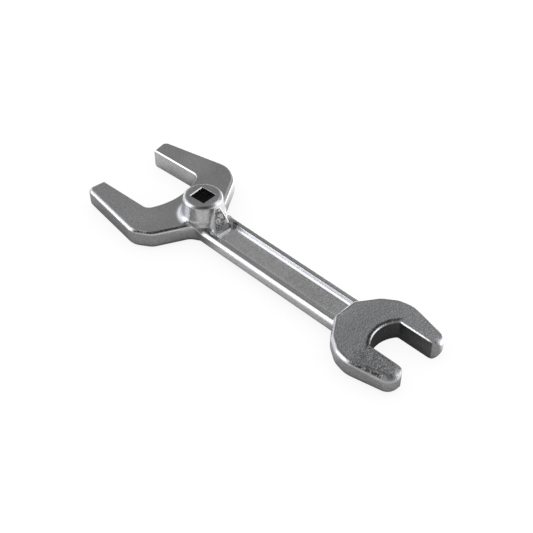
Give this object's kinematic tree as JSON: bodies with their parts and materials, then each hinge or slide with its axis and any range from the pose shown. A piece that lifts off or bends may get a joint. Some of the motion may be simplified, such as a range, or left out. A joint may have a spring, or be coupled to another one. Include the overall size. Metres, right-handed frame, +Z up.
{
  "type": "double open-end wrench",
  "caption": "Forged open-end wrench with a wide and a narrow jaw joined by a recessed handle, and a raised boss with a square through socket behind the wide jaw.",
  "frame": {"origin": "on the axis of the square socket, at the flat underside of the heads", "axes": "+X along the handle from the large head to the small head, +Z up, away from the underside and towards the boss"},
  "size_m": [0.1775, 0.0619, 0.0197],
  "materials": {
    "chrome_plate": "chrome plate over forged steel, satin on the flat faces and bright on the rounded edges"
  },
  "bodies": {
    "root": {"wrench": "chrome_plate"}
  },
  "joints": []
}
